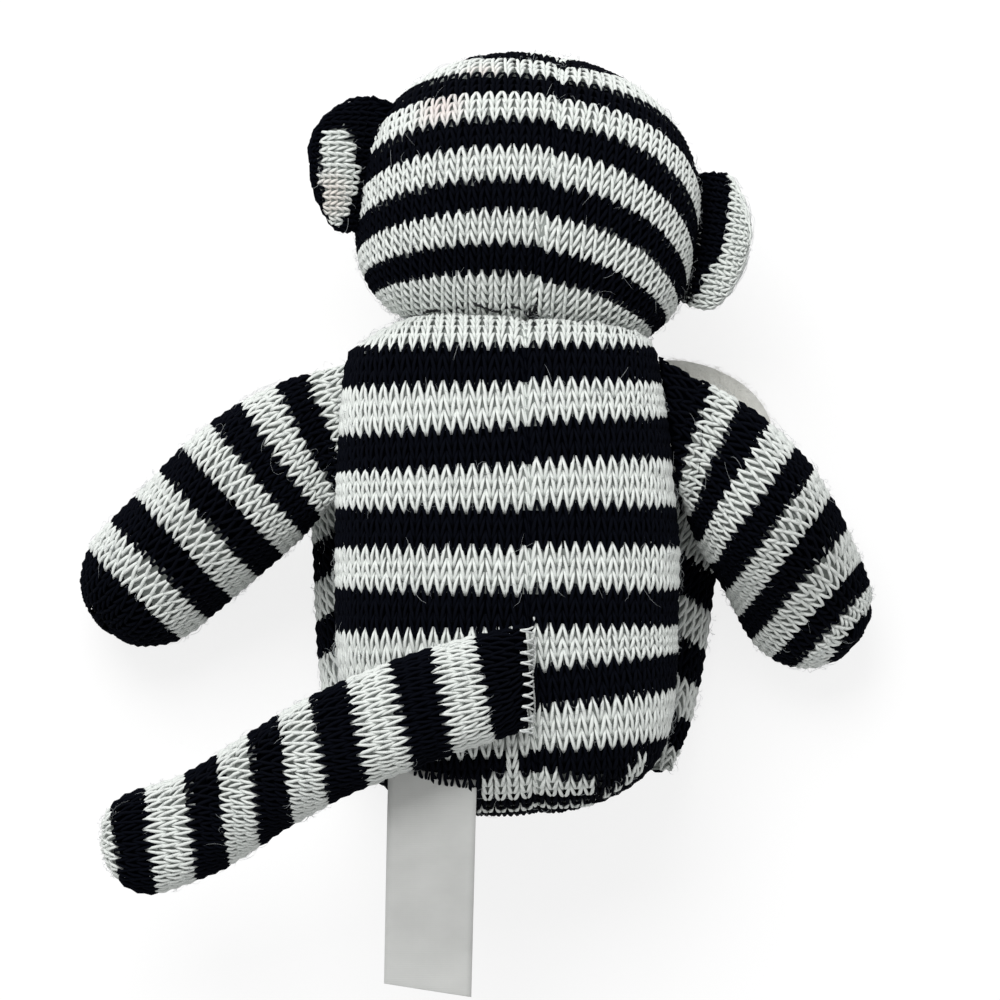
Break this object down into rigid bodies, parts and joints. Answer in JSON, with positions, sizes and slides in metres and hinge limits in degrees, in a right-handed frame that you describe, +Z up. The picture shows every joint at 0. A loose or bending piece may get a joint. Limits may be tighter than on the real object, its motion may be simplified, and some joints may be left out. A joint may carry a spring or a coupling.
{
  "type": "stuffed sock monkey doll",
  "caption": "Small stuffed monkey doll in striped knit, lying face down, with folded legs, drooping tail and a bare satin label.",
  "frame": {"origin": "on the table under the middle of the doll's outline", "axes": "+Y towards the crown of the head, +Z up out of the doll's back, +X to the right seen from above; the doll lies face down"},
  "size_m": [0.1591, 0.1899, 0.0832],
  "materials": {
    "striped_knit": "black and white striped jersey knit",
    "cream_fleece": "short-pile cream fleece",
    "fibre_fill": "loose polyester fibre",
    "label_satin": "woven satin ribbon, bare",
    "black_thread": "twisted thread",
    "white_thread": "twisted thread",
    "eye_black": "polished black plastic",
    "eye_washer": "moulded plastic"
  },
  "bodies": {
    "torso": {"torso_cover": "striped_knit", "torso_filling": "fibre_fill", "tail_seam_thread": "white_thread"},
    "neck": {"neck_thread": "black_thread"},
    "head": {"head_cover": "striped_knit", "head_filling": "fibre_fill", "muzzle": "cream_fleece", "mouth_stitch": "black_thread", "left_nostril_stitch": "black_thread", "right_nostril_stitch": "black_thread", "left_eye": "eye_black", "right_eye": "eye_black", "left_eye_washer": "eye_washer", "right_eye_washer": "eye_washer"},
    "left_ear": {"left_ear": "striped_knit"},
    "right_ear": {"right_ear": "striped_knit"},
    "left_arm": {"left_arm_cover": "striped_knit", "left_arm_filling": "fibre_fill"},
    "right_arm": {"right_arm_cover": "striped_knit", "right_arm_filling": "fibre_fill"},
    "left_leg": {"left_leg_cover": "striped_knit", "left_foot": "cream_fleece", "left_leg_filling": "fibre_fill"},
    "right_leg": {"right_leg_cover": "striped_knit", "right_foot": "cream_fleece", "right_leg_filling": "fibre_fill"},
    "tail": {"tail_cover": "striped_knit", "tail_filling": "fibre_fill"},
    "label": {"label": "label_satin"}
  },
  "joints": [
    {"name": "head_turn", "type": "hinge", "parent": "torso", "child": "neck", "pos_m": [0.0105, 0.0653, 0.0395], "axis": [0.1392, 0.9903, 0], "range_deg": [-12, 12]},
    {"name": "head_nod", "type": "hinge", "parent": "neck", "child": "head", "pos_m": [0.0105, 0.0653, 0.0395], "axis": [0.9903, -0.1392, 0], "range_deg": [-12, 12]},
    {"name": "left_ear_fold", "type": "hinge", "parent": "head", "child": "left_ear", "pos_m": [-0.02314, 0.07205, 0.0475], "axis": [0.2445, 0.9696, 0], "range_deg": [-20, 25], "stiffness_Nm_per_rad": 0.0012},
    {"name": "right_ear_fold", "type": "hinge", "parent": "head", "child": "right_ear", "pos_m": [0.0454, 0.05736, 0.0395], "axis": [0.1503, 0.9886, 0], "range_deg": [-25, 20], "stiffness_Nm_per_rad": 0.0012},
    {"name": "left_arm_lift", "type": "hinge", "parent": "torso", "child": "left_arm", "pos_m": [-0.03022, 0.017, 0.0415], "axis": [0.0767, 0.9971, 0], "range_deg": [-5, 45]},
    {"name": "right_arm_lift", "type": "hinge", "parent": "torso", "child": "right_arm", "pos_m": [0.04353, 0.015, 0.042], "axis": [0.1236, -0.9923, 0], "range_deg": [0, 45]},
    {"name": "left_leg_unfold", "type": "hinge", "parent": "torso", "child": "left_leg", "pos_m": [-0.0127, -0.049, 0.02115], "axis": [-0.9122, 0, 0.4096], "range_deg": [0, 120]},
    {"name": "right_leg_unfold", "type": "hinge", "parent": "torso", "child": "right_leg", "pos_m": [0.0261, -0.048, 0.02023], "axis": [-0.9127, 0, -0.4086], "range_deg": [0, 120]},
    {"name": "tail_lift", "type": "hinge", "parent": "torso", "child": "tail", "pos_m": [0.0075, -0.0306, 0.07274], "axis": [0, 0.9966, 0.0824], "range_deg": [0, 110]},
    {"name": "label_lift", "type": "hinge", "parent": "torso", "child": "label", "pos_m": [-0.0089, -0.0505, 0.06347], "axis": [-0.9997, 0.0262, 0], "range_deg": [0, 100]}
  ]
}
